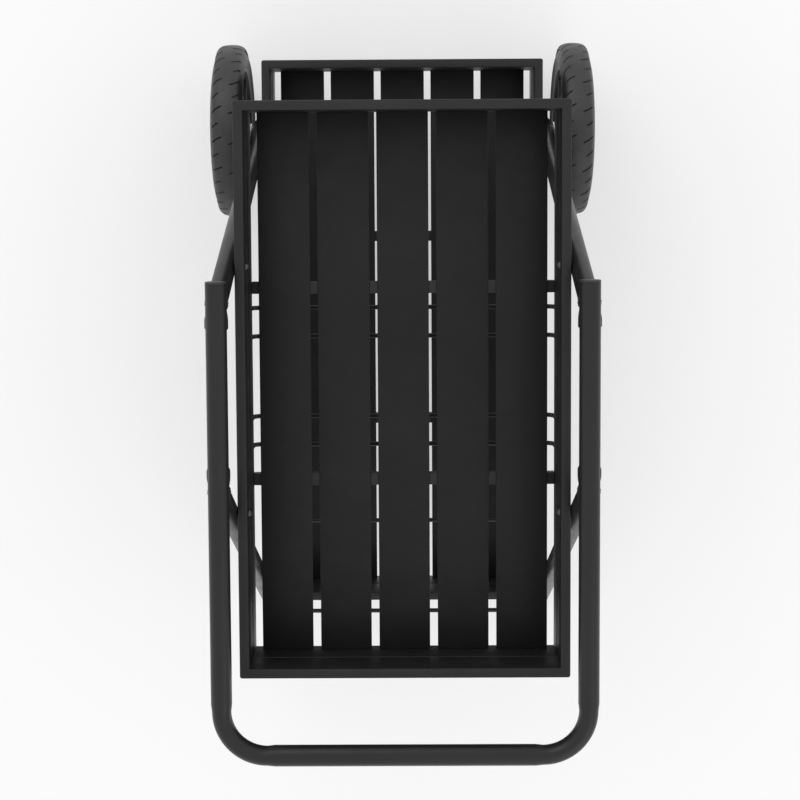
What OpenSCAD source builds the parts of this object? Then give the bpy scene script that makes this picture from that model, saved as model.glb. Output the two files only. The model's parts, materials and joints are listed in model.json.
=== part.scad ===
// Wheeled rack for firewood: a slatted tray over a longer slatted shelf,
// carried by four tube legs with two wheels at the rear and a U-shaped handle.
// Millimetres. X is the width, +Y is the wheel end, +Z is up.
// The origin is on the floor, midway between the two wheels and midway along the rack.

/* [Tubes] */
// Outside diameter of the handle and leg tubes
tube_d = 25; // [24:0.5:26]
// Wall thickness of the tubes
tube_wall = 1.5; // [1:0.1:2.5]

/* [Handle] */
// Height of the handle tube's centre
handle_z = 762; // [755:1:790]
// Centre-line radius of the two handle bends
handle_bend_r = 54; // [45:1:80]
// Y of the centre of the crosswise handle bar
handle_bar_y = -421.5; // [-433:0.5:-413]
// Y of the handle's open rear ends
handle_end_y = 139; // [136:1:160]
// Thickness of the saddle plates between legs and handle
saddle_t = 2; // [1.5:0.1:3]
// Length of a saddle plate along the handle
saddle_l = 46; // [44:1:54]

/* [Tray and shelf frames] */
// Outside width of both slatted frames
frame_w = 408.6; // [400:0.2:412]
// Thickness of the frame walls
wall_t = 12; // [10:0.5:14]
// Depth of the frame walls, from rim to underside
wall_h = 100; // [90:1:106]
// Open groove between the two rails that are stacked in each wall
rail_seam = 0.8; // [0.4:0.1:2]
// Height of the tray's rim
tray_rim_z = 672; // [660:1:680]
// Y of the tray's rear face
tray_rear_y = 354; // [342:1:362]
// Y of the tray's front face
tray_front_y = -357; // [-362:1:-348]
// Height of the shelf's rim
shelf_rim_z = 253; // [248:1:262]
// Y of the shelf's rear face
shelf_rear_y = 427.5; // [417:0.5:437]
// Y of the shelf's front face
shelf_front_y = -371; // [-376:1:-368]

/* [Slats] */
// Width of a slat
slat_w = 65; // [58:0.5:68]
// Thickness of a slat
slat_t = 2; // [1.5:0.5:4]
// Depth of the slats' top face below the rim
slat_drop = 83; // [76:1:84]
// Width of the cross-bars under the slats
crossbar_w = 15; // [12:0.5:20]
// Distance of the tray's cross-bars from its middle
tray_crossbar_offset = 122.6; // [115:0.2:150]
// Distance of the shelf's cross-bars from its middle
shelf_crossbar_offset = 139; // [110:1:180]

/* [Legs] */
// Y of a front leg's centre at the floor
front_foot_y = -444; // [-444:1:-438]
// Horizontal run of a front leg for each unit of height
front_leg_slope = 0.447; // [0.439:0.002:0.449]
// Horizontal run of a rear leg for each unit of height
rear_leg_slope = 0.34; // [0.334:0.002:0.344]
// Length of a rear leg below its axle
rear_leg_tail = 22; // [18:1:30]

/* [Wheels] */
// Distance between the outer faces of the two tyres
wheel_span = 564; // [562:1:572]
// Outside diameter of a tyre, whose lowest point is the floor
wheel_d = 260; // [250:2:264]
// Width of a tyre
tyre_w = 48; // [42:0.5:48]
// Y of the wheels' common axis
axle_y = 328; // [324:1:332]
// Diameter of a stub axle
axle_d = 12; // [10:1:12]

/* [Rods] */
// Diameter of the hanging rods and the guard ring
rod_d = 6; // [5:0.5:7]
// Drop of the hanging rods below the tray
rod_drop = 65; // [50:1:80]
// Distance of the outer pair of hanging rods from the tray's middle
outer_rod_offset = 90.6; // [80:0.2:100]
// Distance of the inner pair of hanging rods from the tray's middle
inner_rod_offset = 53; // [30:1:70]
// Height of the guard ring's centre
ring_z = 332; // [310:1:350]
// Y of the guard ring's rear run
ring_rear_y = -233; // [-248:1:-223]
// Y of the guard ring's front run
ring_front_y = -365; // [-366:1:-353]

/* [Hidden] */
$fn = 64;

// Finishes
powder_black = [0.14, 0.14, 0.145];
rubber_black = [0.09, 0.09, 0.09];
plastic_black = [0.12, 0.12, 0.12];
bright_zinc = [0.72, 0.73, 0.75];
black_zinc = [0.2, 0.2, 0.22];
sintered_bronze = [0.55, 0.42, 0.25];

SIDES = [-1, 1];
LEFT = -1;
RIGHT = 1;
SLAT_COUNT = 5;
eps = 0.01;
weld_gap = 0.2;
// How far a cut runs past the face that it opens
cut = 1;

// Tubes
tube_r = tube_d / 2;
bore_d = tube_d - 2 * tube_wall;
leg_x = frame_w / 2 + weld_gap + tube_r;
leg_inner_x = leg_x - tube_r;
leg_outer_x = leg_x + tube_r;
seat_d = tube_d + 2 * saddle_t;
plug_clear = 0.4;
plug_d = bore_d - plug_clear;
plug_head = 3;
plug_depth = 22;

// Legs: the rear leg leans forward as it rises, the front leg leans back
rear_tilt = atan(rear_leg_slope);
front_tilt = -atan(front_leg_slope);
axle_z = wheel_d / 2;
front_foot_h = 12;
foot_wall = 1;
foot_d = tube_d + 2 * foot_wall;
function rear_leg_y(z) = axle_y - (z - axle_z) * rear_leg_slope;
function front_leg_y(z) = front_foot_y + z * front_leg_slope;

// Saddles run from each leg top towards the middle of the rack
leg_top_z = handle_z - seat_d / 2;
saddle_lap = 10;
flank_l = 21;
low_flank = 6;
rear_saddle_y = rear_leg_y(leg_top_z) + saddle_lap - saddle_l / 2;
front_saddle_y = front_leg_y(leg_top_z) - saddle_lap + saddle_l / 2;
screw_inset = 12;
rear_screw_y = rear_saddle_y - saddle_l / 2 + screw_inset;
front_screw_y = front_saddle_y + saddle_l / 2 - screw_inset;
screw_d = 5;
screw_head_d = 9.5;
screw_head_h = 2.6;
screw_proud = 0.5;

// Frames
rail_h = (wall_h - rail_seam) / 2;
inner_w = frame_w - 2 * wall_t;
slat_gap = (inner_w - SLAT_COUNT * slat_w) / (SLAT_COUNT + 1);
slat_pitch = slat_w + slat_gap;
crossbar_h = wall_h - slat_drop - slat_t;
tray_mid_y = (tray_rear_y + tray_front_y) / 2;
shelf_mid_y = (shelf_rear_y + shelf_front_y) / 2;
wall_x = frame_w / 2 - wall_t / 2;

// Frame bolts pass from inside through the upper rail, at half of its height, into a leg
bolt_d = 8;
bolt_clear = 0.3;
bolt_head_d = 14;
bolt_head_h = 2.8;
bolt_head_taper = 0.7;
bolt_end_gap = 1;
socket_af = 5;
socket_depth = 1.8;
rivet_nut_d = 11;
rivet_nut_l = 12;
tray_bolt_z = tray_rim_z - rail_h / 2;
shelf_bolt_z = shelf_rim_z - rail_h / 2;
hex_corner = 1 / cos(30);

// Wheels, as distances from the rack's middle plane
tyre_out_x = wheel_span / 2;
tyre_in_x = tyre_out_x - tyre_w;
run_gap = 0.3;
spacer_proud = 0.2;
spacer_d = 22;
spacer_end_x = tyre_in_x + spacer_proud;
hub_in_x = spacer_end_x + run_gap;
hub_recess = 18;
hub_out_x = tyre_out_x - hub_recess;
washer_t = 1.6;
washer_d = 24;
axle_nut_h = 10;
axle_nut_af = 19;
axle_head_h = 8;
thread_proud = 1.5;
axle_end_x = hub_out_x + run_gap + washer_t + axle_nut_h + thread_proud;
hub_d = 48;
hub_bore_d = 20;
bush_fit = 0.1;
bush_d = hub_bore_d - bush_fit;
bush_l = 11;
bush_bore_d = axle_d + bush_fit;
tyre_h = 34;
tyre_seat_r = wheel_d / 2 - tyre_h;
rim_inset = 4;
rim_wall = 6;
web_t = 6;
web_x = (hub_in_x + hub_out_x) / 2;
web_hole_d = 28;
web_hole_count = 6;
cap_r = 22;
cap_bore_r = 16;
cap_side_h = 12;
cap_dome_h = 5;

// Half of the tyre's section, as radius below the tread and distance in from a side face
tyre_half_section = [
    [tyre_h, 6],
    [tyre_h - 6, 3],
    [tyre_h - 14, 0],
    [10, 0],
    [3, 4],
    [0, 13]
];

// Rods
rod_bend_r = 12;
ring_bend_r = 20;
post_inset = 26;
rod_z = tray_rim_z - wall_h - rod_drop;

// A solid of revolution with its axis along X, drawn with X as its height
module along_x(x, side, y, z)
    translate([0, y, z])
        mirror([side < 0 ? 1 : 0, 0, 0])
            translate([x, 0, 0])
                rotate([0, 90, 0])
                    children();

// A stretch of hollow or solid rod along Y
module rod_y(d, y_from, y_to)
    translate([0, y_to, 0])
        rotate([90, 0, 0])
            cylinder(h = y_to - y_from, d = d);

// A quarter bend in the XY plane, from +X to +Y about the origin
module bend(d, r)
    rotate_extrude(angle = 90)
        translate([r, 0])
            circle(d = d);

// Half of the handle, as a solid rod of diameter d on the side x > 0
module handle_half(d, extra) {
    bend_y = handle_bar_y + handle_bend_r;
    translate([leg_x, 0, 0])
        rod_y(d, bend_y, handle_end_y + extra);
    translate([leg_x - handle_bend_r, bend_y, 0])
        rotate([0, 0, -90])
            bend(d, handle_bend_r);
    translate([-eps, handle_bar_y, 0])
        rotate([0, 90, 0])
            cylinder(h = leg_x - handle_bend_r + eps, d = d);
}

module handle_solid(d, extra)
    translate([0, 0, handle_z])
        for (side = SIDES)
            mirror([side < 0 ? 1 : 0, 0, 0])
                handle_half(d, extra);

module saddle_screw_places()
    for (side = SIDES, y = [rear_screw_y, front_screw_y])
        translate([side * leg_x, y, leg_top_z])
            children();

module handle_tube()
    color(powder_black)
        difference() {
            handle_solid(tube_d, 0);
            handle_solid(bore_d, eps);
            saddle_screw_places()
                cylinder(h = saddle_t + tube_wall + cut, d = screw_d + bolt_clear);
        }

module handle_end_plugs()
    color(plastic_black)
        for (side = SIDES)
            translate([side * leg_x, handle_end_y, handle_z])
                rotate([-90, 0, 0]) {
                    cylinder(h = plug_head, d = tube_d);
                    translate([0, 0, -plug_depth])
                        cylinder(h = plug_depth + eps, d = plug_d);
                }

// A half shell under the handle tube, with lower flanks where it meets its leg
module saddle(side, y, free_way)
    difference() {
        translate([side * leg_x, 0, handle_z])
            rod_y(seat_d, y - saddle_l / 2, y + saddle_l / 2);
        translate([side * leg_x, 0, handle_z])
            rod_y(tube_d, y - saddle_l, y + saddle_l);
        translate([side * leg_x - seat_d, y - saddle_l, handle_z])
            cube([2 * seat_d, 2 * saddle_l, seat_d]);
        translate([side * leg_x, y, handle_z - low_flank])
            mirror([0, free_way < 0 ? 1 : 0, 0])
                translate([-seat_d, -saddle_l, 0])
                    cube([2 * seat_d, 1.5 * saddle_l - flank_l, seat_d]);
        saddle_screw_places()
            cylinder(h = 3 * saddle_t, d = screw_d + bolt_clear, center = true);
    }

module rear_saddles()
    color(powder_black)
        for (side = SIDES)
            saddle(side, rear_saddle_y, -1);

module front_saddles()
    color(powder_black)
        for (side = SIDES)
            saddle(side, front_saddle_y, 1);

module saddle_screws()
    color(bright_zinc)
        saddle_screw_places() {
            translate([0, 0, -screw_head_h])
                cylinder(h = screw_head_h, d = screw_head_d);
            cylinder(h = saddle_t + tube_wall + screw_proud, d = screw_d);
        }

// The groove in a leg top that takes the saddle, and the holes for the rivet nuts
module leg_cuts(side, tray_y, shelf_y) {
    translate([side * leg_x, 0, handle_z])
        rod_y(seat_d, axle_y - 2 * wheel_d, axle_y);
    along_x(leg_inner_x - cut, side, tray_y, tray_bolt_z)
        cylinder(h = tube_r, d = rivet_nut_d + bolt_clear);
    along_x(leg_inner_x - cut, side, shelf_y, shelf_bolt_z)
        cylinder(h = tube_r, d = rivet_nut_d + bolt_clear);
}

module rear_leg(side)
    color(powder_black)
        difference() {
            translate([side * leg_x, axle_y, axle_z])
                rotate([rear_tilt, 0, 0])
                    translate([0, 0, -rear_leg_tail])
                        difference() {
                            leg_l = rear_leg_tail + (handle_z - axle_z) / cos(rear_tilt);
                            cylinder(h = leg_l, d = tube_d);
                            translate([0, 0, -eps])
                                cylinder(h = leg_l + 2 * eps, d = bore_d);
                        }
            leg_cuts(side, rear_leg_y(tray_bolt_z), rear_leg_y(shelf_bolt_z));
            along_x(leg_inner_x - cut, side, axle_y, axle_z)
                cylinder(h = tube_d + 2 * cut, d = axle_d + bolt_clear);
        }

module front_leg_rod(side, d)
    translate([side * leg_x, front_foot_y, 0])
        rotate([front_tilt, 0, 0])
            translate([0, 0, -tube_d])
                cylinder(h = tube_d + handle_z / cos(front_tilt), d = d);

module front_leg(side)
    color(powder_black)
        difference() {
            front_leg_rod(side, tube_d);
            front_leg_rod(side, bore_d);
            translate([side * leg_x - tube_d, front_foot_y - 2 * tube_d, -2 * tube_d])
                cube([2 * tube_d, 4 * tube_d, 2 * tube_d + front_foot_h]);
            leg_cuts(side, front_leg_y(tray_bolt_z), front_leg_y(shelf_bolt_z));
        }

module rear_leg_plugs()
    color(plastic_black)
        for (side = SIDES)
            translate([side * leg_x, axle_y, axle_z])
                rotate([rear_tilt, 0, 0])
                    translate([0, 0, -rear_leg_tail - plug_head]) {
                        cylinder(h = plug_head, d = tube_d);
                        cylinder(h = plug_head + rear_leg_tail - axle_d, d = plug_d);
                    }

// A rubber ferrule with a flat sole and a stem inside the leg
module front_feet()
    color(rubber_black)
        for (side = SIDES) {
            intersection() {
                front_leg_rod(side, foot_d);
                translate([side * leg_x - tube_d, front_foot_y - 2 * tube_d, 0])
                    cube([2 * tube_d, 4 * tube_d, front_foot_h]);
            }
            intersection() {
                front_leg_rod(side, plug_d);
                translate([side * leg_x - tube_d, front_foot_y - 2 * tube_d, eps])
                    cube([2 * tube_d, 4 * tube_d, front_foot_h + plug_depth]);
            }
        }

// Two rails along Y, one in each side wall, with a clear hole for each leg's bolt
module side_rails(top_z, rear_y, front_y, bolt_ys, bolt_z)
    color(powder_black)
        difference() {
            for (side = SIDES)
                translate([side * wall_x - wall_t / 2, front_y, top_z - rail_h])
                    cube([wall_t, rear_y - front_y, rail_h]);
            for (side = SIDES, y = bolt_ys)
                along_x(frame_w / 2 - wall_t - cut, side, y, bolt_z)
                    cylinder(h = wall_t + 2 * cut, d = bolt_d + bolt_clear);
        }

// Two rails along X, one in each end wall, between the side rails
module end_rails(top_z, rear_y, front_y)
    color(powder_black)
        for (y = [front_y, rear_y - wall_t])
            translate([-inner_w / 2, y, top_z - rail_h])
                cube([inner_w, wall_t, rail_h]);

module slat(index, rim_z, rear_y, front_y)
    color(powder_black)
        translate([
            -inner_w / 2 + slat_gap + (index - 1) * slat_pitch,
            front_y + wall_t,
            rim_z - slat_drop - slat_t
        ])
            cube([slat_w, rear_y - front_y - 2 * wall_t, slat_t]);

module crossbars(rim_z, mid_y, offset_y)
    color(powder_black)
        for (side = SIDES)
            translate([
                -inner_w / 2,
                mid_y + side * offset_y - crossbar_w / 2,
                rim_z - wall_h
            ])
                cube([inner_w, crossbar_w, crossbar_h]);

// A button-headed bolt with a hex socket, its head against the inside of the wall
module frame_bolts(ys, z)
    color(black_zinc)
        for (side = SIDES, y = ys)
            along_x(frame_w / 2 - wall_t, side, y, z) {
                difference() {
                    translate([0, 0, -bolt_head_h])
                        cylinder(h = bolt_head_h, d1 = bolt_head_d * bolt_head_taper, d2 = bolt_head_d);
                    translate([0, 0, -bolt_head_h - cut])
                        cylinder(h = socket_depth + cut, d = socket_af * hex_corner, $fn = 6);
                }
                cylinder(h = wall_t + rivet_nut_l - bolt_end_gap, d = bolt_d);
            }

// A sleeve that is set in the leg and takes the bolt's thread
module rivet_nuts(ys, z)
    color(bright_zinc)
        for (side = SIDES, y = ys)
            along_x(leg_inner_x, side, y, z)
                difference() {
                    cylinder(h = rivet_nut_l, d = rivet_nut_d);
                    translate([0, 0, -cut])
                        cylinder(h = rivet_nut_l + 2 * cut, d = bolt_d + bolt_clear);
                }

tray_bolt_ys = [rear_leg_y(tray_bolt_z), front_leg_y(tray_bolt_z)];
shelf_bolt_ys = [rear_leg_y(shelf_bolt_z), front_leg_y(shelf_bolt_z)];

// A rod that hangs across the rack below the tray, its ends bent up to the side walls
module hanging_rod(y) {
    run = wall_x - rod_bend_r;
    color(powder_black)
        translate([0, y, rod_z]) {
            rotate([0, 90, 0])
                cylinder(h = 2 * run, d = rod_d, center = true);
            for (side = SIDES)
                mirror([side < 0 ? 1 : 0, 0, 0]) {
                    translate([run, 0, rod_bend_r])
                        rotate([90, 0, 0])
                            rotate([0, 0, -90])
                                bend(rod_d, rod_bend_r);
                    translate([wall_x, 0, rod_bend_r])
                        cylinder(h = rod_drop - rod_bend_r, d = rod_d);
                }
        }
}

// A closed rectangle of bent rod above the front of the shelf
module guard_ring() {
    run_x = wall_x - ring_bend_r;
    corner_ys = [ring_front_y + ring_bend_r, ring_rear_y - ring_bend_r];
    color(powder_black)
        translate([0, 0, ring_z]) {
            for (side = SIDES)
                translate([side * wall_x, 0, 0])
                    rod_y(rod_d, corner_ys[0], corner_ys[1]);
            for (y = [ring_front_y, ring_rear_y])
                translate([0, y, 0])
                    rotate([0, 90, 0])
                        cylinder(h = 2 * run_x, d = rod_d, center = true);
            for (side = SIDES)
                mirror([side < 0 ? 1 : 0, 0, 0]) {
                    translate([run_x, corner_ys[1], 0])
                        bend(rod_d, ring_bend_r);
                    translate([run_x, corner_ys[0], 0])
                        rotate([0, 0, -90])
                            bend(rod_d, ring_bend_r);
                }
        }
}

module guard_ring_posts()
    color(powder_black)
        for (side = SIDES, y = [ring_front_y + post_inset, ring_rear_y - post_inset])
            translate([side * wall_x, y, shelf_rim_z])
                cylinder(h = ring_z - shelf_rim_z - rod_d / 2, d = rod_d);

function mirrored_section_point(i) =
    [wheel_d / 2 - tyre_half_section[i][0], tyre_w - tyre_half_section[i][1]];

// Rubber tyre with a crowned tread, stepped shoulders and a narrower toe
module tyre(side)
    color(rubber_black)
        along_x(tyre_in_x, side, axle_y, axle_z)
            rotate_extrude()
                polygon([
                    for (i = [0 : 2 * len(tyre_half_section) - 1])
                        i < len(tyre_half_section)
                            ? [wheel_d / 2 - tyre_half_section[i][0], tyre_half_section[i][1]]
                            : mirrored_section_point(2 * len(tyre_half_section) - 1 - i)
                ]);

// Moulded rim: bead ring, web with round holes, and hub
module rim(side)
    color(plastic_black)
        difference() {
            along_x(0, side, axle_y, axle_z) {
                translate([0, 0, tyre_in_x + rim_inset])
                    difference() {
                        cylinder(h = tyre_w - 2 * rim_inset, r = tyre_seat_r);
                        translate([0, 0, -cut])
                            cylinder(h = tyre_w, r = tyre_seat_r - rim_wall);
                    }
                translate([0, 0, web_x - web_t / 2])
                    cylinder(h = web_t, r = tyre_seat_r - rim_wall + eps);
                translate([0, 0, hub_in_x])
                    cylinder(h = hub_out_x - hub_in_x, d = hub_d);
            }
            along_x(0, side, axle_y, axle_z) {
                translate([0, 0, hub_in_x - cut])
                    cylinder(h = hub_out_x - hub_in_x + 2 * cut, d = hub_bore_d);
                for (turn = [0 : web_hole_count - 1])
                    rotate([0, 0, turn * 360 / web_hole_count])
                        translate([(tyre_seat_r - rim_wall + hub_d / 2) / 2, 0, hub_in_x - cut])
                            cylinder(h = tyre_w, d = web_hole_d);
            }
        }

module hub_bushes(side)
    color(sintered_bronze)
        for (x = [hub_in_x, hub_out_x - bush_l])
            along_x(x, side, axle_y, axle_z)
                difference() {
                    cylinder(h = bush_l, d = bush_d);
                    translate([0, 0, -cut])
                        cylinder(h = bush_l + 2 * cut, d = bush_bore_d);
                }

module hub_cap(side)
    color(plastic_black)
        along_x(hub_out_x, side, axle_y, axle_z)
            difference() {
                union() {
                    cylinder(h = cap_side_h, r = cap_r);
                    translate([0, 0, cap_side_h - eps])
                        cylinder(h = cap_dome_h, r1 = cap_r, r2 = cap_r - cap_dome_h);
                }
                translate([0, 0, -cut])
                    cylinder(h = axle_end_x - hub_out_x + 2 * cut, r = cap_bore_r);
            }

module axle_bolt(side)
    color(bright_zinc)
        along_x(0, side, axle_y, axle_z) {
            translate([0, 0, leg_inner_x])
                cylinder(h = axle_end_x - leg_inner_x, d = axle_d);
            translate([0, 0, leg_inner_x - axle_head_h])
                cylinder(h = axle_head_h + eps, d = axle_nut_af * hex_corner, $fn = 6);
        }

module axle_spacer(side)
    color(bright_zinc)
        along_x(leg_outer_x, side, axle_y, axle_z)
            difference() {
                cylinder(h = spacer_end_x - leg_outer_x, d = spacer_d);
                translate([0, 0, -cut])
                    cylinder(h = tyre_w, d = axle_d + bolt_clear);
            }

// Washer and lock nut outside the hub
module axle_nut(side)
    color(bright_zinc)
        along_x(hub_out_x + run_gap, side, axle_y, axle_z)
            difference() {
                union() {
                    cylinder(h = washer_t, d = washer_d);
                    cylinder(h = washer_t + axle_nut_h, d = axle_nut_af * hex_corner, $fn = 6);
                }
                translate([0, 0, -cut])
                    cylinder(h = tyre_w, d = axle_d + bolt_clear);
            }

module tray_side_rails(top_z, ys)
    side_rails(top_z, tray_rear_y, tray_front_y, ys, tray_bolt_z);

module shelf_side_rails(top_z, ys)
    side_rails(top_z, shelf_rear_y, shelf_front_y, ys, shelf_bolt_z);

module tray_slat(index)
    slat(index, tray_rim_z, tray_rear_y, tray_front_y);

module shelf_slat(index)
    slat(index, shelf_rim_z, shelf_rear_y, shelf_front_y);

module tray_rivet_nuts()
    rivet_nuts(tray_bolt_ys, tray_bolt_z);

module shelf_rivet_nuts()
    rivet_nuts(shelf_bolt_ys, shelf_bolt_z);

lower_tray_z = tray_rim_z - rail_h - rail_seam;
lower_shelf_z = shelf_rim_z - rail_h - rail_seam;

handle_tube();
handle_end_plugs();
rear_saddles();
front_saddles();
saddle_screws();
rear_leg(LEFT);  // left_rear_leg
rear_leg(RIGHT);  // right_rear_leg
front_leg(LEFT);  // left_front_leg
front_leg(RIGHT);  // right_front_leg
rear_leg_plugs();
front_feet();
tray_side_rails(tray_rim_z, tray_bolt_ys);  // tray_upper_side_rails
end_rails(tray_rim_z, tray_rear_y, tray_front_y);  // tray_upper_end_rails
tray_side_rails(lower_tray_z, []);  // tray_lower_side_rails
end_rails(lower_tray_z, tray_rear_y, tray_front_y);  // tray_lower_end_rails
tray_slat(1);  // tray_slat_1
tray_slat(2);  // tray_slat_2
tray_slat(3);  // tray_slat_3
tray_slat(4);  // tray_slat_4
tray_slat(5);  // tray_slat_5
crossbars(tray_rim_z, tray_mid_y, tray_crossbar_offset);  // tray_crossbars
frame_bolts(tray_bolt_ys, tray_bolt_z);  // tray_bolts
tray_rivet_nuts();
shelf_side_rails(shelf_rim_z, shelf_bolt_ys);  // shelf_upper_side_rails
end_rails(shelf_rim_z, shelf_rear_y, shelf_front_y);  // shelf_upper_end_rails
shelf_side_rails(lower_shelf_z, []);  // shelf_lower_side_rails
end_rails(lower_shelf_z, shelf_rear_y, shelf_front_y);  // shelf_lower_end_rails
shelf_slat(1);  // shelf_slat_1
shelf_slat(2);  // shelf_slat_2
shelf_slat(3);  // shelf_slat_3
shelf_slat(4);  // shelf_slat_4
shelf_slat(5);  // shelf_slat_5
crossbars(shelf_rim_z, shelf_mid_y, shelf_crossbar_offset);  // shelf_crossbars
frame_bolts(shelf_bolt_ys, shelf_bolt_z);  // shelf_bolts
shelf_rivet_nuts();
hanging_rod(tray_mid_y + outer_rod_offset);  // hanging_rod_1
hanging_rod(tray_mid_y + inner_rod_offset);  // hanging_rod_2
hanging_rod(tray_mid_y - inner_rod_offset);  // hanging_rod_3
hanging_rod(tray_mid_y - outer_rod_offset);  // hanging_rod_4
guard_ring();
guard_ring_posts();
tyre(LEFT);  // left_tyre
rim(LEFT);  // left_rim
hub_bushes(LEFT);  // left_hub_bushes
hub_cap(LEFT);  // left_hub_cap
axle_bolt(LEFT);  // left_axle_bolt
axle_spacer(LEFT);  // left_axle_spacer
axle_nut(LEFT);  // left_axle_nut
tyre(RIGHT);  // right_tyre
rim(RIGHT);  // right_rim
hub_bushes(RIGHT);  // right_hub_bushes
hub_cap(RIGHT);  // right_hub_cap
axle_bolt(RIGHT);  // right_axle_bolt
axle_spacer(RIGHT);  // right_axle_spacer
axle_nut(RIGHT);  // right_axle_nut
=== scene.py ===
"""Finished look of the wheeled firewood rack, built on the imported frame. Metres."""

import json
from math import atan, cos, pi, radians, sin, sqrt, tau

import bmesh
import bpy
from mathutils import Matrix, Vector


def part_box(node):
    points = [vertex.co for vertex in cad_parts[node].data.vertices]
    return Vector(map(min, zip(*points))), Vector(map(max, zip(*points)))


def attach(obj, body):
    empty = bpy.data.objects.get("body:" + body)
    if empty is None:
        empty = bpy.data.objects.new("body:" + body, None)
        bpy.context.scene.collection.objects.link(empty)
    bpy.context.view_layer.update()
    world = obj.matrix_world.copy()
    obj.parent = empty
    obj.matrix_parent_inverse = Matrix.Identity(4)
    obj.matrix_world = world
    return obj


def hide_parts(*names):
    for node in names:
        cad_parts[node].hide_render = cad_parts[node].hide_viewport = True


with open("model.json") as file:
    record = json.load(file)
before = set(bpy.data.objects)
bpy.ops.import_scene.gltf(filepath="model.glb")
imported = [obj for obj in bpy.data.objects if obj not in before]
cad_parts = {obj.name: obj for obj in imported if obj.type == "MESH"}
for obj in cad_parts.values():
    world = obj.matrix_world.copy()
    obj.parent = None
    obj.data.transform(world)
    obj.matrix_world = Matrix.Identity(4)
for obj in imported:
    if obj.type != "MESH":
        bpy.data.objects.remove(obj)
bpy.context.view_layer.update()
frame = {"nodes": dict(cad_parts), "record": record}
nodes = frame["nodes"]

MM = 0.001
RACK = "rack"
SIDES = {"left": -1, "right": 1}


# ---------------------------------------------------------------- materials

def new_material(name):
    """A material with a Principled shader, and the object coordinates to texture it by."""
    material = bpy.data.materials.new(name)
    material.use_nodes = True
    tree = material.node_tree
    shader = tree.nodes["Principled BSDF"]
    place = tree.nodes.new("ShaderNodeTexCoord").outputs["Object"]
    return material, tree, shader, place


def noise(tree, place, scale, detail=3.0, roughness=0.55):
    """A noise texture's value."""
    node = tree.nodes.new("ShaderNodeTexNoise")
    node.inputs["Scale"].default_value = scale
    node.inputs["Detail"].default_value = detail
    node.inputs["Roughness"].default_value = roughness
    tree.links.new(place, node.inputs["Vector"])
    return node.outputs["Fac"]


def spread(tree, value, low, high, start=0.3, end=0.7):
    """Maps a texture's useful range to low..high."""
    node = tree.nodes.new("ShaderNodeMapRange")
    node.inputs["From Min"].default_value = start
    node.inputs["From Max"].default_value = end
    node.inputs["To Min"].default_value = low
    node.inputs["To Max"].default_value = high
    tree.links.new(value, node.inputs["Value"])
    return node.outputs["Result"]


def tint(tree, value, dark, light):
    """A colour between two, by a texture value."""
    node = tree.nodes.new("ShaderNodeMix")
    node.data_type = "RGBA"
    node.inputs["A"].default_value = (*dark, 1.0)
    node.inputs["B"].default_value = (*light, 1.0)
    tree.links.new(value, node.inputs["Factor"])
    return node.outputs["Result"]


def bump(tree, height, strength, distance, under=None):
    """A bumped normal, laid over another one if it is given."""
    node = tree.nodes.new("ShaderNodeBump")
    node.inputs["Strength"].default_value = strength
    node.inputs["Distance"].default_value = distance
    tree.links.new(height, node.inputs["Height"])
    if under is not None:
        tree.links.new(under, node.inputs["Normal"])
    return node.outputs["Normal"]


def powder_coat(name, tone, rough_low, rough_high, gloss, peel=0.35):
    """Black powder coat: fine orange peel, a slow cloudiness and a little handling dust."""
    material, tree, shader, place = new_material(name)
    cloud = spread(tree, noise(tree, place, 9.0, 5.0), 0.0, 1.0)
    dark = tuple(0.82 * tone * c for c in (1.0, 1.0, 1.02))
    light = tuple(1.2 * tone * c for c in (1.0, 1.0, 1.01))
    tree.links.new(tint(tree, cloud, dark, light), shader.inputs["Base Color"])
    patch = spread(tree, noise(tree, place, 38.0, 4.0), rough_low, rough_high)
    tree.links.new(patch, shader.inputs["Roughness"])
    coarse = bump(tree, noise(tree, place, 620.0, 2.0), peel, 0.12 * MM)
    fine = bump(tree, noise(tree, place, 2600.0, 1.0), 0.6 * peel, 0.03 * MM, coarse)
    tree.links.new(fine, shader.inputs["Normal"])
    shader.inputs["Specular IOR Level"].default_value = gloss
    return material


def rubber(name, tone):
    """Vulcanised rubber: matt, with a faint grey bloom and a fine skin."""
    material, tree, shader, place = new_material(name)
    bloom = spread(tree, noise(tree, place, 26.0, 6.0, 0.65), 0.0, 1.0)
    dark = (0.8 * tone, 0.8 * tone, 0.8 * tone)
    light = (1.35 * tone, 1.33 * tone, 1.3 * tone)
    tree.links.new(tint(tree, bloom, dark, light), shader.inputs["Base Color"])
    patch = spread(tree, noise(tree, place, 90.0, 4.0), 0.40, 0.54)
    tree.links.new(patch, shader.inputs["Roughness"])
    skin = bump(tree, noise(tree, place, 1400.0, 3.0), 0.4, 0.08 * MM)
    tree.links.new(skin, shader.inputs["Normal"])
    shader.inputs["Specular IOR Level"].default_value = 0.55
    return material


def moulded_plastic(name, tone):
    """Moulded black plastic with a spark-eroded grain."""
    material, tree, shader, place = new_material(name)
    cloud = spread(tree, noise(tree, place, 14.0, 3.0), 0.0, 1.0)
    dark = (0.85 * tone, 0.85 * tone, 0.87 * tone)
    light = (1.15 * tone, 1.15 * tone, 1.17 * tone)
    tree.links.new(tint(tree, cloud, dark, light), shader.inputs["Base Color"])
    patch = spread(tree, noise(tree, place, 60.0, 3.0), 0.42, 0.52)
    tree.links.new(patch, shader.inputs["Roughness"])
    grain = bump(tree, noise(tree, place, 1900.0, 2.0), 0.45, 0.06 * MM)
    tree.links.new(grain, shader.inputs["Normal"])
    return material


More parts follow.
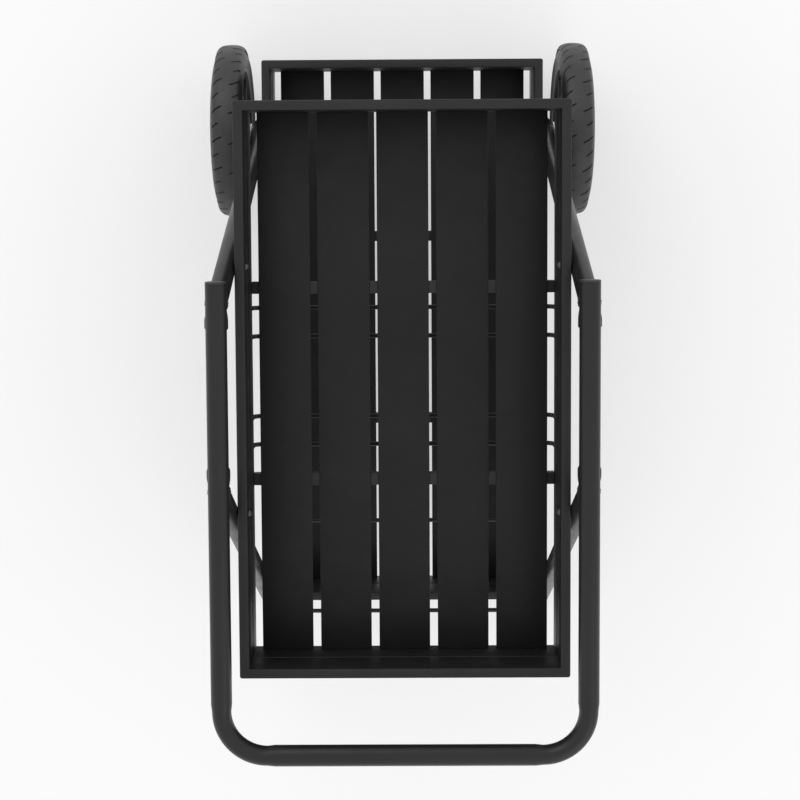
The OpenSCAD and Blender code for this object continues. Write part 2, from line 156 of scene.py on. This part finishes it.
def plated_metal(name, colour, rough_low, rough_high):
    """Bare or plated metal with fine turning marks and a mottled sheen."""
    material, tree, shader, place = new_material(name)
    mottle = spread(tree, noise(tree, place, 160.0, 5.0), 0.0, 1.0)
    dark = tuple(0.8 * c for c in colour)
    tree.links.new(tint(tree, mottle, dark, colour), shader.inputs["Base Color"])
    patch = spread(tree, noise(tree, place, 420.0, 3.0), rough_low, rough_high)
    tree.links.new(patch, shader.inputs["Roughness"])
    marks = bump(tree, noise(tree, place, 3200.0, 2.0), 0.25, 0.02 * MM)
    tree.links.new(marks, shader.inputs["Normal"])
    shader.inputs["Metallic"].default_value = 1.0
    return material


SLOT_MATERIALS = {
    "tube_paint": powder_coat("satin_tube_coat", 0.008, 0.30, 0.40, 0.40),
    "frame_paint": powder_coat("satin_frame_coat", 0.013, 0.42, 0.52, 0.35),
    "slat_paint": powder_coat("matt_slat_coat", 0.0085, 0.42, 0.54, 0.25, 0.3),
    "tyre_rubber": rubber("tyre_rubber", 0.021),
    "foot_rubber": rubber("foot_rubber", 0.024),
    "wheel_plastic": moulded_plastic("wheel_plastic", 0.022),
    "plug_plastic": moulded_plastic("plug_plastic", 0.020),
    "zinc_plate": plated_metal("zinc_plate", (0.66, 0.67, 0.69), 0.22, 0.36),
    "black_zinc": plated_metal("black_zinc", (0.12, 0.12, 0.13), 0.26, 0.38),
    "bush_bronze": plated_metal("bush_bronze", (0.44, 0.31, 0.17), 0.38, 0.52),
}
SLOT_OF_NODE = {p["node"]: p["material_slot"] for p in frame["record"]["subparts"]}

for node_name, node_object in nodes.items():
    node_object.data.materials.clear()
    node_object.data.materials.append(SLOT_MATERIALS[SLOT_OF_NODE[node_name]])


# ------------------------------------------------------------- mesh helpers

def add_piece(name, bm, slot, body=RACK, stands_for=(), smooth_below=35.0):
    """Turns a bmesh into a finished piece that rides on a body."""
    bmesh.ops.recalc_face_normals(bm, faces=bm.faces)
    mesh = bpy.data.meshes.new(name)
    bm.to_mesh(mesh)
    bm.free()
    for face in mesh.polygons:
        face.use_smooth = True
    mesh.set_sharp_from_angle(angle=radians(smooth_below))
    mesh.materials.append(SLOT_MATERIALS[slot])
    piece = bpy.data.objects.new(name, mesh)
    bpy.context.scene.collection.objects.link(piece)
    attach(piece, body)
    if stands_for:
        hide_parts(*stands_for)
    return piece


def join_rings(bm, rings, closed_path=False, cap_ends=False):
    """Quads between neighbouring rings of vertices, each ring closed on itself."""
    count = len(rings[0])
    pairs = list(zip(rings, rings[1:]))
    if closed_path:
        pairs.append((rings[-1], rings[0]))
    for a, b in pairs:
        for i in range(count):
            j = (i + 1) % count
            bm.faces.new((a[i], a[j], b[j], b[i]))
    if cap_ends:
        bm.faces.new(rings[0])
        bm.faces.new(list(reversed(rings[-1])))


def round_edges(bm, width, segments=2, above=35.0):
    """Rounds every edge whose faces meet more sharply than the angle."""
    limit = radians(above)
    sharp = [e for e in bm.edges if len(e.link_faces) == 2 and e.calc_face_angle(0.0) > limit]
    bmesh.ops.bevel(
        bm, geom=sharp, offset=width, offset_type="OFFSET", segments=segments,
        profile=0.5, affect="EDGES", clamp_overlap=True,
    )


def node_bmesh(node):
    """The shape of a CAD node as a clean bmesh, its flat faces whole again."""
    source = nodes[node].data
    bm = bmesh.new()
    places = [bm.verts.new(v.co) for v in source.vertices]
    for polygon in source.polygons:
        try:
            bm.faces.new([places[i] for i in polygon.vertices])
        except ValueError:
            continue
    bmesh.ops.remove_doubles(bm, verts=bm.verts, dist=0.002 * MM)
    bmesh.ops.dissolve_limit(bm, angle_limit=radians(0.3), verts=bm.verts, edges=bm.edges)
    return bm


def finished_node(node, edge, body=RACK, segments=2):
    """A CAD node with its edges rounded off, as the real piece has them."""
    bm = node_bmesh(node)
    round_edges(bm, edge, segments)
    return add_piece(node + "_finished", bm, SLOT_OF_NODE[node], body, [node])


def tube_along(bm, path, radius, plane_normal, closed=False, narrow=None, sides=40):
    """Sweeps a round section along a flat path; narrow gives its in-plane share at each point."""
    rings = []
    count = len(path)
    for i, point in enumerate(path):
        before = path[i - 1] if (i > 0 or closed) else point
        after = path[(i + 1) % count] if (i < count - 1 or closed) else point
        tangent = (after - before).normalized()
        across = plane_normal.cross(tangent).normalized()
        share = narrow[i] if narrow else 1.0
        ring = []
        for k in range(sides):
            turn = tau * k / sides
            offset = across * (radius * share * cos(turn)) + plane_normal * (radius * sin(turn))
            ring.append(bm.verts.new(point + offset))
        rings.append(ring)
    join_rings(bm, rings, closed_path=closed, cap_ends=not closed)


def arc(centre, radius, start, end, axis_a, axis_b, steps):
    """Points on an arc from the start angle to the end angle, in the plane of two axes."""
    angles = [start + (end - start) * i / steps for i in range(steps + 1)]
    return [centre + radius * (cos(a) * axis_a + sin(a) * axis_b) for a in angles]


def lathe(bm, profile, centre, side, steps=96):
    """Turns a profile of (distance from the rack's middle, radius) about an axis along X."""
    rings = []
    for i in range(steps):
        turn = tau * i / steps
        rings.append([
            bm.verts.new((side * x, centre.y + r * cos(turn), centre.z + r * sin(turn)))
            for x, r in profile
        ])
    join_rings(bm, rings, closed_path=True)


X_AXIS = Vector((1, 0, 0))
Y_AXIS = Vector((0, 1, 0))
Z_AXIS = Vector((0, 0, 1))


# ------------------------------------------------------- tray and shelf frames

CORNER_R = 3.0 * MM
RAIL_EDGE_R = 1.2 * MM
EDGE_STEPS = 3
SHARPEST_CORNER = 0.4 * MM


def inset_corner_loop(lo, hi, inset, corner, z, steps=5):
    """Points round a rectangle with round corners, a given distance inside its outline."""
    radius = max(corner - inset, SHARPEST_CORNER)
    x0, x1 = lo.x + inset + radius, hi.x - inset - radius
    y0, y1 = lo.y + inset + radius, hi.y - inset - radius
    points = []
    for cx, cy, start in ((x1, y1, 0), (x0, y1, 1), (x0, y0, 2), (x1, y0, 3)):
        for i in range(steps + 1):
            turn = (start + i / steps) * pi / 2
            points.append((cx + radius * cos(turn), cy + radius * sin(turn), z))
    return points


def rail_hoop(name, side_node, end_node):
    """One welded hoop of rail: its section has rounded edges, its corners are dressed smooth."""
    side_lo, side_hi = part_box(side_node)
    end_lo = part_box(end_node)[0]
    wall = end_lo[0] - side_lo[0]
    lo, hi = Vector(side_lo), Vector(side_hi)
    r = RAIL_EDGE_R
    outline = []
    # each corner's centre, as distance in and height, and the quarter turn that its round starts at
    top, base = hi.z - r, lo.z + r
    corners = ((r, top, 1), (r, base, 2), (wall - r, base, -1), (wall - r, top, 0))
    for cx, cz, quarter in corners:
        for i in range(EDGE_STEPS + 1):
            turn = (quarter + i / EDGE_STEPS) * pi / 2
            outline.append((cx + r * cos(turn), cz + r * sin(turn)))
    bm = bmesh.new()
    rings = [
        [bm.verts.new(p) for p in inset_corner_loop(lo, hi, inset, CORNER_R, z)]
        for inset, z in outline
    ]
    join_rings(bm, rings, closed_path=True)
    return add_piece(name, bm, SLOT_OF_NODE[side_node], RACK, [side_node, end_node])


for frame_name in ("tray", "shelf"):
    for level in ("upper", "lower"):
        rail_hoop(
            f"{frame_name}_{level}_hoop",
            f"{frame_name}_{level}_side_rails",
            f"{frame_name}_{level}_end_rails",
        )


# ------------------------------------------------------------------- slats

SLAT_EDGE_R = 0.7 * MM


def rounded_bar(name, lo, hi, edge, slot, stands_for):
    """A flat bar with finely rounded edges."""
    bm = bmesh.new()
    bmesh.ops.create_cube(bm, size=1.0)
    lo, hi = Vector(lo), Vector(hi)
    middle, span = (lo + hi) / 2, hi - lo
    for vert in bm.verts:
        vert.co = Vector(middle[i] + vert.co[i] * span[i] for i in range(3))
    round_edges(bm, edge, 3)
    return add_piece(name, bm, slot, RACK, stands_for)


for frame_name in ("tray", "shelf"):
    for number in range(1, 6):
        slat_node = f"{frame_name}_slat_{number}"
        slat_lo, slat_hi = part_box(slat_node)
        rounded_bar(
            slat_node + "_finished", slat_lo, slat_hi, SLAT_EDGE_R,
            SLOT_OF_NODE[slat_node], [slat_node],
        )
    finished_node(f"{frame_name}_crossbars", 1.2 * MM, segments=3)


# ------------------------------------------------------------------ handle

HANDLE_BEND_R = 54 * MM
HANDLE_BEND_STEPS = 28
BEND_SQUEEZE = 0.915
SQUEEZE_RUN = 9 * MM
handle_lo, handle_hi = (Vector(c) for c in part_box("handle_tube"))
TUBE_R = (handle_hi.z - handle_lo.z) / 2
HANDLE_Z = (handle_hi.z + handle_lo.z) / 2
LEG_X = handle_hi.x - TUBE_R
BAR_Y = handle_lo.y + TUBE_R
HANDLE_END_Y = handle_hi.y


def handle():
    """One bent tube, a little narrower across its two bends."""
    bend_y = BAR_Y + HANDLE_BEND_R
    bend_x = LEG_X - HANDLE_BEND_R
    straight_ys = (HANDLE_END_Y, 0.0, bend_y + SQUEEZE_RUN, bend_y + SQUEEZE_RUN / 2)
    right = [Vector((LEG_X, y, HANDLE_Z)) for y in straight_ys]
    bend_centre = Vector((bend_x, bend_y, HANDLE_Z))
    right += arc(bend_centre, HANDLE_BEND_R, 0.0, -pi / 2, X_AXIS, Y_AXIS, HANDLE_BEND_STEPS)
    bar_xs = (bend_x - SQUEEZE_RUN / 2, bend_x - SQUEEZE_RUN)
    right += [Vector((x, BAR_Y, HANDLE_Z)) for x in bar_xs]
    half_squeeze = (1.0 + BEND_SQUEEZE) / 2
    squeezed = [BEND_SQUEEZE] * (HANDLE_BEND_STEPS + 1)
    narrow = [1.0, 1.0, 1.0, half_squeeze] + squeezed + [half_squeeze, 1.0]
    left = [Vector((-p.x, p.y, p.z)) for p in reversed(right)]
    bm = bmesh.new()
    tube_along(bm, right + left, TUBE_R, Z_AXIS, narrow=narrow + narrow[::-1], sides=64)
    return add_piece("handle_bent_tube", bm, "tube_paint", RACK, ["handle_tube"])


handle()


# --------------------------------------------------------------- rods and ring

ROD_BEND_R = 12 * MM
RING_BEND_R = 20 * MM
BEND_STEPS = 10


def hanging_rod(node):
    """A U of round rod, its upright ends fixed under the side walls."""
    lo, hi = (Vector(c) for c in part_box(node))
    radius = (hi.y - lo.y) / 2
    y = (lo.y + hi.y) / 2
    x, z = hi.x - radius, lo.z + radius
    right = [Vector((x, y, hi.z))]
    bend_centre = Vector((x - ROD_BEND_R, y, z + ROD_BEND_R))
    right += arc(bend_centre, ROD_BEND_R, 0.0, -pi / 2, X_AXIS, Z_AXIS, BEND_STEPS)
    left = [Vector((-p.x, p.y, p.z)) for p in reversed(right)]
    bm = bmesh.new()
    tube_along(bm, right + left, radius, Y_AXIS, sides=24)
    return add_piece(node + "_bent", bm, "tube_paint", RACK, [node])


def guard_ring():
    """A closed rectangle of rod with round corners."""
    lo, hi = (Vector(c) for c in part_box("guard_ring"))
    radius = (hi.z - lo.z) / 2
    z = (lo.z + hi.z) / 2
    x = hi.x - radius - RING_BEND_R
    y0, y1 = lo.y + radius + RING_BEND_R, hi.y - radius - RING_BEND_R
    path = []
    for cx, cy, quarter in ((x, y1, 0), (-x, y1, 1), (-x, y0, 2), (x, y0, 3)):
        start = quarter * pi / 2
        centre = Vector((cx, cy, z))
        path += arc(centre, RING_BEND_R, start, start + pi / 2, X_AXIS, Y_AXIS, BEND_STEPS)
    bm = bmesh.new()
    tube_along(bm, path, radius, Z_AXIS, closed=True, sides=24)
    return add_piece("guard_ring_bent", bm, "tube_paint", RACK, ["guard_ring"])


for number in range(1, 5):
    hanging_rod(f"hanging_rod_{number}")
guard_ring()


# ------------------------------------------------------------------- wheels

GROOVES = 36
STEPS_PER_GROOVE = 32
TYRE_HALF_PROFILE = [
    # distance from the tyre's middle and radius below the tread's crown, in mm
    (0.0, 0.0), (4.0, 0.1), (8.0, 0.5), (11.0, 1.1), (13.8, 2.0), (16.2, 3.2), (18.2, 4.8),
    (19.6, 6.6), (20.1, 7.8), (19.9, 8.6), (18.6, 9.0), (18.3, 10.2), (19.6, 12.6), (21.4, 15.6),
    (22.8, 18.8), (23.5, 21.2), (23.8, 22.4), (23.5, 23.4), (22.4, 23.9), (22.2, 25.0),
    (22.7, 26.0), (22.9, 27.0), (22.2, 27.8), (21.2, 28.4), (21.0, 29.4), (20.2, 30.8),
    (18.8, 32.6), (17.6, 34.0),
]
# reaches and runs across the tread are in mm, like the profile
TREAD_EDGE_DROP = 9.0
TREAD_STEP = 1.25
GROOVE_START = 4.0
GROOVE_END = 21.5
GROOVE_ENTRY = 2.5
GROOVE_LEAVE = 1.2
GROOVE_SWEEP = 0.085
GROOVE_SWEEP_POWER = 1.7
GROOVE_FLOOR_SHARE = 0.35
GROOVE_DEPTH = 2.2 * MM
GROOVE_HALF_WIDTH = 1.0 * MM
SHORT_GROOVE_SHIFT = 5.0
SHOULDER_START = 15.0
SHOULDER_PULL = 0.25
LIP_RISE = 0.35 * MM
LIP_AWAY = 2.0 * MM
LIP_HALF_WIDTH = 1.0 * MM


def smooth_step(value):
    value = min(max(value, 0.0), 1.0)
    return value * value * (3 - 2 * value)


def densify(profile, longest):
    """Adds points so that no stretch of the tread's profile is longer than a limit."""
    dense = [profile[0]]
    for (x0, d0), (x1, d1) in zip(profile, profile[1:]):
        pieces = 1
        if d1 < TREAD_EDGE_DROP:
            pieces = max(1, int(sqrt((x1 - x0) ** 2 + (d1 - d0) ** 2) / longest + 0.5))
        for i in range(1, pieces + 1):
            dense.append((x0 + (x1 - x0) * i / pieces, d0 + (d1 - d0) * i / pieces))
    return dense


def groove_depth(turn, across, crown_r):
    """How deep the tread is cut at a place; grooves curve as they near the shoulders."""
    reach = abs(across)
    if reach < GROOVE_START or reach > GROOVE_END:
        return 0.0
    share = (reach - GROOVE_START) / (GROOVE_END - GROOVE_START)
    curve = GROOVE_SWEEP * share ** GROOVE_SWEEP_POWER * (1.0 if across > 0 else -1.0)
    half_pitch_shift = 0.5 if across < 0 else 0.0
    pitch = tau / GROOVES
    phase = (turn + curve) / pitch + half_pitch_shift
    index = int(phase + 0.5)
    long_groove = index % 2 == 0
    starts = GROOVE_START if long_groove else GROOVE_START + SHORT_GROOVE_SHIFT
    distance = abs(phase - index) * pitch * crown_r
    floor_half = GROOVE_FLOOR_SHARE * GROOVE_HALF_WIDTH
    side = 1.0 - smooth_step((distance - floor_half) / (GROOVE_HALF_WIDTH - floor_half))
    lip = 1.0 - smooth_step(abs(distance - LIP_AWAY) / LIP_HALF_WIDTH)
    entry = smooth_step((reach - starts) / GROOVE_ENTRY)
    leave = 1.0 - smooth_step((reach - (GROOVE_END - GROOVE_LEAVE)) / GROOVE_LEAVE)
    return (GROOVE_DEPTH * side - LIP_RISE * lip) * entry * leave


def tyre(label):
    """Rubber tyre: crowned tread with curved shoulder grooves over a stepped, ringed side wall."""
    node = f"{label}_tyre"
    lo, hi = (Vector(c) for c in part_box(node))
    middle_x = (lo.x + hi.x) / 2
    centre = (lo + hi) / 2
    crown_r = (hi.z - lo.z) / 2
    half = densify(TYRE_HALF_PROFILE, TREAD_STEP)
    profile = [(-x, d) for x, d in reversed(half)] + half[1:]
    steps = GROOVES * STEPS_PER_GROOVE
    bm = bmesh.new()
    rings = []
    for i in range(steps):
        turn = tau * i / steps
        ring = []
        for across, drop in profile:
            cut = groove_depth(turn, across, crown_r) if drop < TREAD_EDGE_DROP else 0.0
            r = crown_r - drop * MM - cut
            pull = SHOULDER_PULL * cut if abs(across) > SHOULDER_START else 0.0
            x = middle_x + across * MM - (pull if across > 0 else -pull)
            ring.append(bm.verts.new((x, centre.y + r * cos(turn), centre.z + r * sin(turn))))
        rings.append(ring)
    join_rings(bm, rings, closed_path=True)
    return add_piece(f"{label}_grooved_tyre", bm, "tyre_rubber", f"{label}_wheel", [node], 40.0)


RIB_COUNT = 6
RIB_INNER_R = 23 * MM
RIB_OUTER_R = 91 * MM
RIB_HALF_THICKNESS = 2.0 * MM
RIB_RISE = 11 * MM
RIB_END_SHARE = 0.6
RIB_FACES = ((0, 1, 3, 2), (4, 6, 7, 5), (0, 4, 5, 1), (2, 3, 7, 6), (0, 2, 6, 4), (1, 5, 7, 3))


def rim_ribs(label):
    """Radial ribs between the web's holes, on both faces of the web."""
    lo, hi = (Vector(c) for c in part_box(f"{label}_rim"))
    bush_lo, bush_hi = (Vector(c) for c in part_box(f"{label}_hub_bushes"))
    centre = (lo + hi) / 2
    centre.x = (bush_lo.x + bush_hi.x) / 2
    bm = bmesh.new()
    for i in range(RIB_COUNT):
        turn = tau * (i + 0.5) / RIB_COUNT
        out = Vector((0, cos(turn), sin(turn)))
        along = Vector((0, -sin(turn), cos(turn)))
        corners = []
        for r, reach in ((RIB_INNER_R, RIB_RISE), (RIB_OUTER_R, RIB_END_SHARE * RIB_RISE)):
            for face in (-1, 1):
                for edge in (-1, 1):
                    offset = X_AXIS * face * reach + along * edge * RIB_HALF_THICKNESS
                    corners.append(bm.verts.new(centre + out * r + offset))
        for quad in RIB_FACES:
            bm.faces.new([corners[k] for k in quad])
    round_edges(bm, 0.8 * MM)
    return add_piece(f"{label}_rim_ribs", bm, "wheel_plastic", f"{label}_wheel")


RIM_LIP_R = 2.4 * MM
RIM_LIP_OFFSET = 18.4 * MM
RIM_LIP_INSET = 2.0 * MM
RIM_LIP_SIDES = 14


def rim_lips(label, side):
    """Rolled lips that hold the tyre on each side of the rim."""
    lo, hi = (Vector(c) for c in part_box(f"{label}_rim"))
    tyre_lo, tyre_hi = (Vector(c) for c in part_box(f"{label}_tyre"))
    centre = (tyre_lo + tyre_hi) / 2
    lip_r = (hi.z - lo.z) / 2 - RIM_LIP_INSET
    bm = bmesh.new()
    for x in (abs(centre.x) - RIM_LIP_OFFSET, abs(centre.x) + RIM_LIP_OFFSET):
        turns = [tau * k / RIM_LIP_SIDES for k in range(RIM_LIP_SIDES)]
        loop = [(x + RIM_LIP_R * cos(turn), lip_r + RIM_LIP_R * sin(turn)) for turn in turns]
        lathe(bm, loop, centre, side, 128)
    return add_piece(f"{label}_rim_lips", bm, "wheel_plastic", f"{label}_wheel")


for label, side in SIDES.items():
    wheel = f"{label}_wheel"
    tyre(label)
    finished_node(f"{label}_rim", 0.8 * MM, wheel)
    rim_ribs(label)
    rim_lips(label, side)
    finished_node(f"{label}_hub_bushes", 0.3 * MM, wheel)
    finished_node(f"{label}_hub_cap", 1.2 * MM, wheel, 4)
    for fastener in ("axle_bolt", "axle_spacer", "axle_nut"):
        finished_node(f"{label}_{fastener}", 0.7 * MM)


# --------------------------------------------- legs, saddles, plugs, fasteners

for label in SIDES:
    finished_node(f"{label}_rear_leg", 0.25 * MM)
    finished_node(f"{label}_front_leg", 0.25 * MM)
for node_name, edge_width in (
    ("saddle_screws", 0.9 * MM),
    ("handle_end_plugs", 1.3 * MM), ("rear_leg_plugs", 1.0 * MM), ("front_feet", 1.2 * MM),
    ("tray_bolts", 0.8 * MM), ("shelf_bolts", 0.8 * MM),
    ("tray_rivet_nuts", 0.4 * MM), ("shelf_rivet_nuts", 0.4 * MM),
    ("guard_ring_posts", 0.3 * MM),
):
    finished_node(node_name, edge_width, segments=3)


SADDLE_T = 2.0 * MM
SADDLE_NARROW, SADDLE_WIDE = 66.0, 93.0
SADDLE_FLARE_START, SADDLE_FLARE_RUN = 0.42, 0.3
SADDLE_TIP_RUN, SADDLE_TIP_CUT = 0.14, 0.55
SADDLE_EDGE_CUT = 0.6
SADDLE_LIFT = 0.02 * MM
REAR_LEG_SLOPE = -0.34
FRONT_LEG_SLOPE = 0.447


def saddle_reach(share):
    """Half of the angle that a saddle wraps: narrow at its leg, wide further on, round-tipped."""
    flare = smooth_step((share - SADDLE_FLARE_START) / SADDLE_FLARE_RUN)
    tip = 1.0 - SADDLE_TIP_CUT * smooth_step((share - (1.0 - SADDLE_TIP_RUN)) / SADDLE_TIP_RUN)
    return radians(SADDLE_NARROW + (SADDLE_WIDE - SADDLE_NARROW) * flare) * tip


def saddle_shell(bm, side, leg_end_y, free_end_y):
    """A pressed plate that hugs the underside of the handle, thin along its edges."""
    stations, across = 30, 22
    rings = []
    for i in range(stations + 1):
        share = i / stations
        y = leg_end_y + (free_end_y - leg_end_y) * share
        reach = saddle_reach(share)
        outer, inner = [], []
        for k in range(across + 1):
            lean = 2.0 * k / across - 1.0
            turn = reach * lean
            thick = SADDLE_T * (1.0 - SADDLE_EDGE_CUT * abs(lean) ** 8)
            for radius, row in ((TUBE_R + thick, outer), (TUBE_R + SADDLE_LIFT, inner)):
                row.append((side * LEG_X + radius * sin(turn), y, HANDLE_Z - radius * cos(turn)))
        rings.append([bm.verts.new(p) for p in outer + inner[::-1]])
    join_rings(bm, rings, cap_ends=True)


def saddles(node, leg_end_is_rear):
    """The left and right saddles of one CAD node."""
    lo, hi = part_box(node)
    ends = (hi.y, lo.y) if leg_end_is_rear else (lo.y, hi.y)
    bm = bmesh.new()
    for side in SIDES.values():
        saddle_shell(bm, side, *ends)
    return add_piece(node + "_pressed", bm, "tube_paint", RACK, [node])


LEG_BEAD_R = 1.5 * MM
LEG_BEAD_STEPS = 96
LEG_BEAD_RIPPLES = 24
LEG_BEAD_RIPPLE = 0.16
ROD_BEAD_R = 1.1 * MM
BEAD_DROP = 0.8 * MM
BEAD_DROP_AT_RING = 0.4 * MM


def leg_weld(name, side, slope, y_at_top):
    """A rippled bead round the joint between a leg's top and its saddle."""
    seat_r = TUBE_R + SADDLE_T
    stretch = 1.0 / cos(atan(slope))
    path, ripple = [], []
    for i in range(LEG_BEAD_STEPS):
        turn = tau * i / LEG_BEAD_STEPS
        x = TUBE_R * cos(turn)
        z = -sqrt(seat_r ** 2 - x ** 2)
        y = y_at_top + slope * (z + seat_r) + TUBE_R * stretch * sin(turn)
        path.append(Vector((side * LEG_X + x, y, HANDLE_Z + z)))
        ripple.append(1.0 + LEG_BEAD_RIPPLE * sin(LEG_BEAD_RIPPLES * turn))
    bm = bmesh.new()
    tube_along(bm, path, LEG_BEAD_R, Z_AXIS, closed=True, narrow=ripple, sides=12)
    return add_piece(name, bm, "tube_paint")


def rod_welds():
    """A small fillet where each hanging rod meets the tray and each post meets rail and ring."""
    spots = []
    for number in range(1, 5):
        lo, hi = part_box(f"hanging_rod_{number}")
        rod_r = (hi.y - lo.y) / 2
        for side in (-1, 1):
            spots.append(Vector((side * (hi.x - rod_r), (lo.y + hi.y) / 2, hi.z - BEAD_DROP)))
    # the posts are made of the same rod
    lo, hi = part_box("guard_ring_posts")
    for x in (lo.x + rod_r, hi.x - rod_r):
        for y in (lo.y + rod_r, hi.y - rod_r):
            spots.append(Vector((x, y, lo.z + BEAD_DROP)))
            spots.append(Vector((x, y, hi.z - BEAD_DROP_AT_RING)))
    bm = bmesh.new()
    for spot in spots:
        loop = arc(spot, rod_r, 0.0, tau, X_AXIS, Y_AXIS, 24)[:-1]
        tube_along(bm, loop, ROD_BEAD_R, Z_AXIS, closed=True, sides=10)
    return add_piece("rod_welds", bm, "tube_paint")


saddles("rear_saddles", True)
saddles("front_saddles", False)
rod_welds()
SEAT_BOTTOM_Z = HANDLE_Z - TUBE_R - SADDLE_T
for label, side in SIDES.items():
    axle_lo, axle_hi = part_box(f"{label}_axle_bolt")
    axle = (axle_lo + axle_hi) / 2
    rear_top_y = axle.y + REAR_LEG_SLOPE * (SEAT_BOTTOM_Z - axle.z)
    leg_weld(f"{label}_rear_leg_weld", side, REAR_LEG_SLOPE, rear_top_y)
    front_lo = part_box(f"{label}_front_leg")[0]
    front_low_y = front_lo.y + TUBE_R / cos(atan(FRONT_LEG_SLOPE))
    front_top_y = front_low_y + FRONT_LEG_SLOPE * (SEAT_BOTTOM_Z - front_lo.z)
    leg_weld(f"{label}_front_leg_weld", side, FRONT_LEG_SLOPE, front_top_y)


# ------------------------------------------------------------ floor and light

FLOOR_GLOW = 0.452


def floor():
    """A plain pale floor, far wider than the rack, lit from below like a studio table."""
    bm = bmesh.new()
    bmesh.ops.create_grid(bm, x_segments=1, y_segments=1, size=12.0)
    mesh = bpy.data.meshes.new("pale_floor")
    bm.to_mesh(mesh)
    bm.free()
    ground = bpy.data.objects.new("pale_floor", mesh)
    bpy.context.scene.collection.objects.link(ground)
    material, tree, shader, place = new_material("pale_floor")
    cloud = spread(tree, noise(tree, place, 0.8, 2.0), 0.0, 1.0)
    pale = tint(tree, cloud, (0.52, 0.52, 0.52), (0.54, 0.54, 0.54))
    tree.links.new(pale, shader.inputs["Base Color"])
    shader.inputs["Roughness"].default_value = 0.9
    shader.inputs["Specular IOR Level"].default_value = 0.1
    shader.inputs["Emission Color"].default_value = (1.0, 1.0, 1.0, 1.0)
    shader.inputs["Emission Strength"].default_value = FLOOR_GLOW
    mesh.materials.append(material)


def area_light(name, place, target, size, power):
    """A square soft box that faces a target."""
    light = bpy.data.lights.new(name, "AREA")
    light.shape = "SQUARE"
    light.size = size
    light.energy = power
    lamp = bpy.data.objects.new(name, light)
    lamp.location = place
    lamp.rotation_euler = (Vector(target) - Vector(place)).to_track_quat("-Z", "Y").to_euler()
    bpy.context.scene.collection.objects.link(lamp)


def lighting():
    """Soft light from a pale room, with two wide boxes for a gentle direction."""
    world = bpy.data.worlds.new("pale_room")
    world.use_nodes = True
    background = world.node_tree.nodes["Background"]
    background.inputs["Color"].default_value = (1.0, 1.0, 1.0, 1.0)
    background.inputs["Strength"].default_value = 0.93
    bpy.context.scene.world = world
    area_light("rear_box", (-1.2, 2.6, 2.4), (0, 0.1, 0.3), 1.8, 14.0)
    area_light("front_box", (1.6, -2.2, 2.6), (0, -0.1, 0.4), 2.0, 8.0)


def camera():
    """Looks almost straight down from above the wheel end."""
    data = bpy.data.cameras.new("view")
    data.sensor_width = 36.0
    data.lens = 74.47
    data.shift_x = 0.0091
    data.shift_y = -0.1312
    data.clip_end = 50.0
    eye = bpy.data.objects.new("view", data)
    eye.location = (0.0024, 0.2788, 2.6726)
    eye.rotation_euler = (radians(-4.592), radians(0.395), radians(-0.344))
    bpy.context.scene.collection.objects.link(eye)
    bpy.context.scene.camera = eye


floor()
lighting()
camera()
bpy.context.scene.view_settings.view_transform = "Standard"
bpy.context.scene.view_settings.look = "None"
